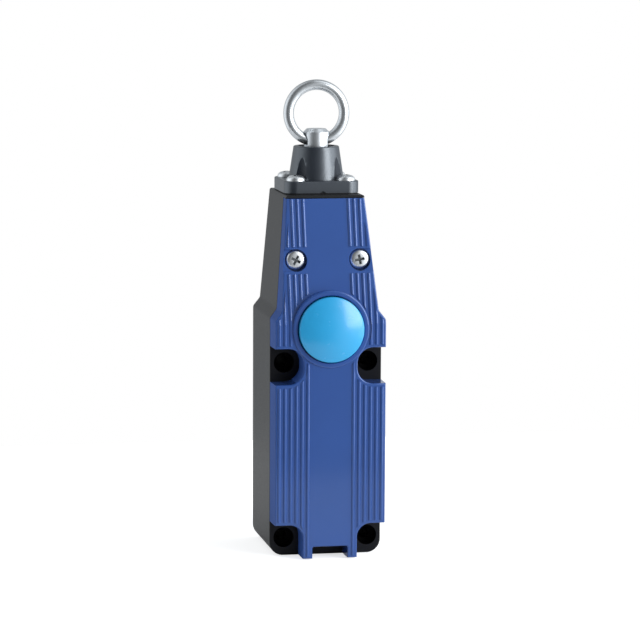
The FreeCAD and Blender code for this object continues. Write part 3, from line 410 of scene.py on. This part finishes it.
# Screws: pan heads with a cross recess, bright zinc on steel, in the cover and on the turret's flange.
# A node tree makes one screw and sets it, at its own turn, on each of the seats that are its points.
def plated_metal(name, colour, roughness, scratch=None, metallic=1.0):
    """Faintly cloudy plating. Its scratches, if it has any, are given as their size and depth."""
    darkest = 0.92
    palest = 1.06
    material = bpy.data.materials.new(name)
    material.use_nodes = True
    tree = material.node_tree
    skin = tree.nodes["Principled BSDF"]
    skin.inputs["Metallic"].default_value = metallic
    place = new_node(tree, "ShaderNodeTexCoord")
    cloud = new_node(tree, "ShaderNodeTexNoise", {"Scale": 90.0, "Detail": 3.0})
    tint = new_node(tree, "ShaderNodeMix", data_type="RGBA")
    tint.inputs[6].default_value = tuple(darkest * c for c in colour) + (1.0,)
    tint.inputs[7].default_value = tuple(min(1.0, palest * c) for c in colour) + (1.0,)
    gloss_range = {"From Min": 0.3, "From Max": 0.7, "To Min": roughness - 0.03, "To Max": roughness + 0.05}
    gloss = new_node(tree, "ShaderNodeMapRange", gloss_range)
    tree.links.new(place.outputs["Object"], cloud.inputs["Vector"])
    tree.links.new(cloud.outputs["Fac"], tint.inputs["Factor"])
    tree.links.new(tint.outputs[2], skin.inputs["Base Color"])
    tree.links.new(cloud.outputs["Fac"], gloss.inputs["Value"])
    tree.links.new(gloss.outputs["Result"], skin.inputs["Roughness"])
    if scratch:
        size, depth = scratch
        lines = new_node(tree, "ShaderNodeTexNoise", {"Scale": 1.0 / size, "Detail": 3.0, "Distortion": 0.4})
        bump = new_node(tree, "ShaderNodeBump", {"Strength": 0.4, "Distance": depth})
        tree.links.new(place.outputs["Object"], lines.inputs["Vector"])
        tree.links.new(lines.outputs["Fac"], bump.inputs["Height"])
        tree.links.new(bump.outputs["Normal"], skin.inputs["Normal"])
    return material


zinc = plated_metal("bright_zinc", (0.84, 0.86, 0.88), 0.33, scratch=(0.0008, 0.000001))
# A much darker zinc for the screws' cross recesses: painted shade.
recess_painted_shade_zinc = plated_metal("recess_painted_shade_zinc", (0.2, 0.21, 0.22), 0.45, scratch=(0.0004, 0.000004))


def screw_tree():
    """Node tree that sets a pan head screw with a cross recess on every point of its mesh."""
    tree = bpy.data.node_groups.new("pan_head_screws", "GeometryNodeTree")
    tree.is_modifier = True
    tree.interface.new_socket("Geometry", in_out="INPUT", socket_type="NodeSocketGeometry")
    lengths = ("Head Radius", "Head Height", "Shank Radius", "Shank Length", "Recess Reach", "Recess Width")
    for name in lengths + ("Squareness",):
        tree.interface.new_socket(name, in_out="INPUT", socket_type="NodeSocketFloat")
    tree.interface.new_socket("Facing", in_out="INPUT", socket_type="NodeSocketRotation")
    tree.interface.new_socket("Seed", in_out="INPUT", socket_type="NodeSocketInt")
    tree.interface.new_socket("Finish", in_out="INPUT", socket_type="NodeSocketMaterial")
    tree.interface.new_socket("Recess Painted Shade", in_out="INPUT", socket_type="NodeSocketMaterial")
    tree.interface.new_socket("Geometry", in_out="OUTPUT", socket_type="NodeSocketGeometry")
    given = new_node(tree, "NodeGroupInput")

    def link(source, output, target, entry):
        tree.links.new(source.outputs[output], target.inputs[entry])

    def maths(operation, a, b):
        node = new_node(tree, "ShaderNodeMath", operation=operation)
        for slot, value in enumerate((a, b)):
            if isinstance(value, float):
                node.inputs[slot].default_value = value
            else:
                tree.links.new(value, node.inputs[slot])
        return node.outputs[0]

    def vector(x, y, z):
        node = new_node(tree, "ShaderNodeCombineXYZ")
        for slot, value in enumerate((x, y, z)):
            if isinstance(value, float):
                node.inputs[slot].default_value = value
            else:
                tree.links.new(value, node.inputs[slot])
        return node.outputs[0]

    head_radius = given.outputs["Head Radius"]
    head_height = given.outputs["Head Height"]
    shank_length = given.outputs["Shank Length"]
    reach = given.outputs["Recess Reach"]
    width = given.outputs["Recess Width"]
    squareness = given.outputs["Squareness"]

    # The head is a ball, pushed out to a squarer curve, scaled to the head's size and cut off at its seat.
    ball = new_node(tree, "GeometryNodeMeshUVSphere", {"Segments": 48, "Rings": 32, "Radius": 1.0})
    place = new_node(tree, "GeometryNodeInputPosition")
    parts = new_node(tree, "ShaderNodeSeparateXYZ")
    link(place, "Position", parts, "Vector")
    beside = maths("ADD", maths("POWER", parts.outputs["X"], 2.0), maths("POWER", parts.outputs["Y"], 2.0))
    above = maths("POWER", maths("ABSOLUTE", parts.outputs["Z"], 0.0), squareness)
    blend = maths("ADD", maths("POWER", beside, maths("MULTIPLY", squareness, 0.5)), above)
    fuller = new_node(tree, "ShaderNodeVectorMath", operation="SCALE")
    link(place, "Position", fuller, 0)
    tree.links.new(maths("POWER", blend, maths("DIVIDE", -1.0, squareness)), fuller.inputs["Scale"])
    dome = new_node(tree, "GeometryNodeSetPosition")
    link(ball, "Mesh", dome, "Geometry")
    link(fuller, "Vector", dome, "Position")
    shaped = new_node(tree, "GeometryNodeTransform")
    link(dome, "Geometry", shaped, "Geometry")
    tree.links.new(vector(head_radius, head_radius, head_height), shaped.inputs["Scale"])
    under = new_node(tree, "GeometryNodeMeshCube")
    under_width = maths("MULTIPLY", head_radius, 3.0)
    tree.links.new(vector(under_width, under_width, head_height), under.inputs["Size"])
    lowered = new_node(tree, "GeometryNodeTransform")
    link(under, "Mesh", lowered, "Geometry")
    tree.links.new(vector(0.0, 0.0, maths("MULTIPLY", head_height, -0.5)), lowered.inputs["Translation"])
    cutters = new_node(tree, "GeometryNodeJoinGeometry")
    link(lowered, "Geometry", cutters, "Geometry")

    # The recess is two crossed arms and a deeper pointed middle, placed by these shares of the head's height.
    arms_middle = 0.8
    tip_middle = 0.25
    for long_side, short_side in ((reach, width), (width, reach)):
        arm = new_node(tree, "GeometryNodeMeshCube")
        arm_size = vector(maths("MULTIPLY", long_side, 2.0), maths("MULTIPLY", short_side, 2.0), head_height)
        tree.links.new(arm_size, arm.inputs["Size"])
        raised = new_node(tree, "GeometryNodeTransform")
        link(arm, "Mesh", raised, "Geometry")
        arm_place = vector(0.0, 0.0, maths("MULTIPLY", head_height, arms_middle))
        tree.links.new(arm_place, raised.inputs["Translation"])
        link(raised, "Geometry", cutters, "Geometry")
    tip = new_node(tree, "GeometryNodeMeshCone", {"Vertices": 24, "Radius Bottom": 0.0})
    tree.links.new(maths("MULTIPLY", reach, 0.5), tip.inputs["Radius Top"])
    tree.links.new(head_height, tip.inputs["Depth"])
    sunk = new_node(tree, "GeometryNodeTransform")
    link(tip, "Mesh", sunk, "Geometry")
    tree.links.new(vector(0.0, 0.0, maths("MULTIPLY", head_height, tip_middle)), sunk.inputs["Translation"])
    link(sunk, "Geometry", cutters, "Geometry")
    cut = new_node(tree, "GeometryNodeMeshBoolean", operation="DIFFERENCE")
    cut.solver = "EXACT"
    cut.inputs["Self Intersection"].default_value = True
    link(shaped, "Geometry", cut, 0)
    link(cutters, "Geometry", cut, 1)

    # Faces within the recess, which lie below the dome and close to the axis, are marked for a darker, duller
    # zinc, which is painted shade in the recess.
    dome_begins = 0.86
    recess_ends = 1.03
    deep = new_node(tree, "FunctionNodeCompare", operation="LESS_THAN")
    tree.links.new(parts.outputs["Z"], deep.inputs["A"])
    tree.links.new(maths("MULTIPLY", head_height, dome_begins), deep.inputs["B"])
    inner = new_node(tree, "FunctionNodeCompare", operation="LESS_THAN")
    tree.links.new(maths("POWER", beside, 0.5), inner.inputs["A"])
    tree.links.new(maths("MULTIPLY", reach, recess_ends), inner.inputs["B"])
    sheltered = new_node(tree, "FunctionNodeBooleanMath", operation="AND")
    link(deep, "Result", sheltered, 0)
    link(inner, "Result", sheltered, 1)
    mark_name = {"Name": "in_recess"}
    marked = new_node(tree, "GeometryNodeStoreNamedAttribute", mark_name, data_type="BOOLEAN", domain="FACE")
    link(cut, "Mesh", marked, "Geometry")
    link(sheltered, "Boolean", marked, "Value")

    # The shank hangs below the seat, and each whole screw is turned by its own share of a quarter turn.
    shank = new_node(tree, "GeometryNodeMeshCylinder", {"Vertices": 32})
    link(given, "Shank Radius", shank, "Radius")
    link(given, "Shank Length", shank, "Depth")
    dropped = new_node(tree, "GeometryNodeTransform")
    link(shank, "Mesh", dropped, "Geometry")
    tree.links.new(vector(0.0, 0.0, maths("MULTIPLY", shank_length, -0.5)), dropped.inputs["Translation"])
    whole = new_node(tree, "GeometryNodeJoinGeometry")
    link(marked, "Geometry", whole, "Geometry")
    link(dropped, "Geometry", whole, "Geometry")
    turn = new_node(tree, "FunctionNodeRandomValue", data_type="FLOAT")
    turn.inputs[3].default_value = math.pi / 2
    link(given, "Seed", turn, "Seed")
    spin = new_node(tree, "FunctionNodeAxisAngleToRotation", {"Axis": (0.0, 0.0, 1.0)})
    tree.links.new(turn.outputs[1], spin.inputs["Angle"])
    facing = new_node(tree, "FunctionNodeRotateRotation", rotation_space="LOCAL")
    link(given, "Facing", facing, "Rotation")
    link(spin, "Rotation", facing, "Rotate By")
    seats = new_node(tree, "GeometryNodeInstanceOnPoints")
    link(given, "Geometry", seats, "Points")
    link(whole, "Geometry", seats, "Instance")
    link(facing, "Rotation", seats, "Rotation")
    real = new_node(tree, "GeometryNodeRealizeInstances")
    link(seats, "Instances", real, "Geometry")
    finish = new_node(tree, "GeometryNodeSetMaterial")
    link(real, "Geometry", finish, "Geometry")
    link(given, "Finish", finish, "Material")
    mark = new_node(tree, "GeometryNodeInputNamedAttribute", mark_name, data_type="BOOLEAN")
    # Painted shade: the marked recess faces get the darker zinc.
    recess_shade_painted = new_node(tree, "GeometryNodeSetMaterial")
    link(finish, "Geometry", recess_shade_painted, "Geometry")
    link(mark, "Attribute", recess_shade_painted, "Selection")
    link(given, "Recess Painted Shade", recess_shade_painted, "Material")
    result = new_node(tree, "NodeGroupOutput")
    link(recess_shade_painted, "Geometry", result, "Geometry")
    return tree


def grown(name, points, tree, values):
    """A plain mesh grown by a node tree from points, with the modifier taken off again."""
    seed_mesh = bpy.data.meshes.new(name + "_points")
    seed_mesh.from_pydata(points, [], [])
    seed = bpy.data.objects.new(name + "_points", seed_mesh)
    scene.collection.objects.link(seed)
    modifier = seed.modifiers.new("grow", "NODES")
    modifier.node_group = tree
    for item in tree.interface.items_tree:
        if item.in_out == "INPUT" and item.name in values:
            modifier[item.identifier] = values[item.name]
    evaluated = seed.evaluated_get(bpy.context.evaluated_depsgraph_get())
    mesh = bpy.data.meshes.new_from_object(evaluated)
    mesh.name = name
    seed.modifiers.remove(modifier)
    bpy.data.objects.remove(seed)
    piece = bpy.data.objects.new(name, mesh)
    scene.collection.objects.link(piece)
    return piece


pan_head_screws = screw_tree()
shank_radius = 0.002


def screw_set(name, node, seats, head_radius, head_height, shank_length, facing, seed, squareness):
    """Screws on their seats, in the place of the plain ones of a CAD node."""
    recess_reach = 0.5 * head_radius
    recess_width = 0.13 * head_radius
    values = {
        "Head Radius": head_radius, "Head Height": head_height,
        "Shank Radius": shank_radius, "Shank Length": shank_length,
        "Recess Reach": recess_reach, "Recess Width": recess_width, "Squareness": squareness,
        "Facing": facing, "Seed": seed, "Finish": zinc, "Recess Painted Shade": recess_painted_shade_zinc,
    }
    screws = grown(name, seats, pan_head_screws, values)
    smooth_by_crease(screws.data, crease_angle=30, weld_distance=1e-7)
    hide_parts(node)
    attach(screws, "housing")


# The two cover screws have flat, full heads that face the front.
cover_head_radius = 0.00465
cover_head_height = 0.003
screws_low, screws_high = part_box("cover_screws")
seat_x = screws_high[0] - cover_head_radius
seat_y = screws_low[1] + cover_head_height
seat_z = middle("cover_screws")[2]
cover_seats = [(-seat_x, seat_y, seat_z), (seat_x, seat_y, seat_z)]
screw_set("cover_screw_set", "cover_screws", cover_seats, cover_head_radius, cover_head_height,
          shank_length=screws_high[1] - seat_y, facing=(math.pi / 2, 0.0, 0.0), seed=4, squareness=4.0)

# The four turret screws have rounder heads that face up.
turret_head_radius = 0.0045
turret_head_height = 0.0027
screws_low, screws_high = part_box("turret_screws")
seat_z = screws_high[2] - turret_head_height
turret_seats = []
for x in (screws_low[0] + turret_head_radius, screws_high[0] - turret_head_radius):
    for y in (screws_low[1] + turret_head_radius, screws_high[1] - turret_head_radius):
        turret_seats.append((x, y, seat_z))
screw_set("turret_screw_set", "turret_screws", turret_seats, turret_head_radius, turret_head_height,
          shank_length=seat_z - screws_low[2], facing=(0.0, 0.0, 0.0), seed=7, squareness=2.4)


# Rod: turned steel under zinc, with a bevelled end and a flared cross hole for the ring.
# It slides in the bush and under the wiper, which wear its plating to an even satin.
rod_metal = plated_metal("rod_metal", (0.74, 0.77, 0.8), 0.36, metallic=0.9)
rod_body = finished_copy("pull_rod", "rod_body", rod_metal, crease_angle=25)
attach(rod_body, "rod")


# Ring: round steel wire bent into a ring and welded, then zinc plated. It passes through the rod's
# cross hole and takes the rope's hook.
ring_low, ring_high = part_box("pull_ring")
wire_radius = (ring_high[1] - ring_low[1]) / 2
ring_radius = (ring_high[0] - ring_low[0]) / 2 - wire_radius
ring_centre = Vector(middle("pull_ring"))
steps_round = 216
steps_wire = 72
ring_mesh = bpy.data.meshes.new("ring_wire")
ring_points = []
ring_faces = []
for i in range(steps_round):
    around = 2 * math.pi * i / steps_round
    outward = Vector((math.cos(around), 0.0, math.sin(around)))
    for j in range(steps_wire):
        tilt = 2 * math.pi * j / steps_wire
        offset = outward * (ring_radius + wire_radius * math.cos(tilt))
        ring_points.append(ring_centre + offset + Vector((0.0, wire_radius * math.sin(tilt), 0.0)))
        following = (i + 1) % steps_round * steps_wire
        beside = (j + 1) % steps_wire
        ring_faces.append((i * steps_wire + j, i * steps_wire + beside, following + beside, following + j))
ring_mesh.from_pydata(ring_points, [], ring_faces)
ring_shape = bmesh.new()
ring_shape.from_mesh(ring_mesh)
bmesh.ops.recalc_face_normals(ring_shape, faces=ring_shape.faces)
ring_shape.to_mesh(ring_mesh)
ring_shape.free()
for polygon in ring_mesh.polygons:
    polygon.use_smooth = True
ring_metal = plated_metal("ring_metal", (0.68, 0.705, 0.73), 0.2, metallic=0.85)
ring_mesh.materials.append(ring_metal)
ring_wire = bpy.data.objects.new("ring_wire", ring_mesh)
scene.collection.objects.link(ring_wire)
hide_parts("pull_ring")
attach(ring_wire, "ring")


# Reset button: a domed cap of light blue plastic with a polished face. It is pushed in against its
# spring to reset the switch, and a clip on its stem keeps it from coming out.
button_blue = (0.026, 0.395, 0.77)
button_skin = moulded_plastic("button_skin", button_blue, 0.22, 0.003, 0.000001, specular=0.7)
button_cap = finished_copy("reset_button", "button_cap", button_skin, crease_angle=40)
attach(button_cap, "button")


# Inside: the working parts that the covers hide, of acetal, dark moulded plastic, spring steel, zinc
# plated steel and brass. Each keeps its CAD shape and gets its real finish.
acetal = moulded_plastic("acetal", (0.72, 0.71, 0.67), 0.34, 0.0008, 0.00001)
block_plastic = moulded_plastic("block_plastic", (0.06, 0.06, 0.068), 0.5, 0.0006, 0.00002)
spring_wire = plated_metal("spring_wire", (0.42, 0.43, 0.45), 0.3, scratch=(0.0003, 0.000004))
brass = plated_metal("stamped_brass", (0.76, 0.56, 0.26), 0.26, scratch=(0.0004, 0.000004))
finishes = {
    acetal: ("guide_bush", "cam_slider", "latch_lever", "contact_plunger_left", "contact_plunger_right"),
    block_plastic: ("contact_block_left", "contact_block_right"),
    spring_wire: ("rod_clip", "pull_spring", "slider_pin", "latch_pin", "latch_spring", "reset_spring",
                  "button_clip", "plunger_spring_left", "plunger_spring_right"),
    zinc: ("spring_cup", "spring_washer", "mechanism_frame", "frame_screws", "block_screws",
           "terminal_screws"),
    brass: ("contact_bridge_left", "contact_bridge_right", "terminals"),
}
for material, names in finishes.items():
    for name in names:
        for slot in nodes[name].material_slots:
            slot.material = material
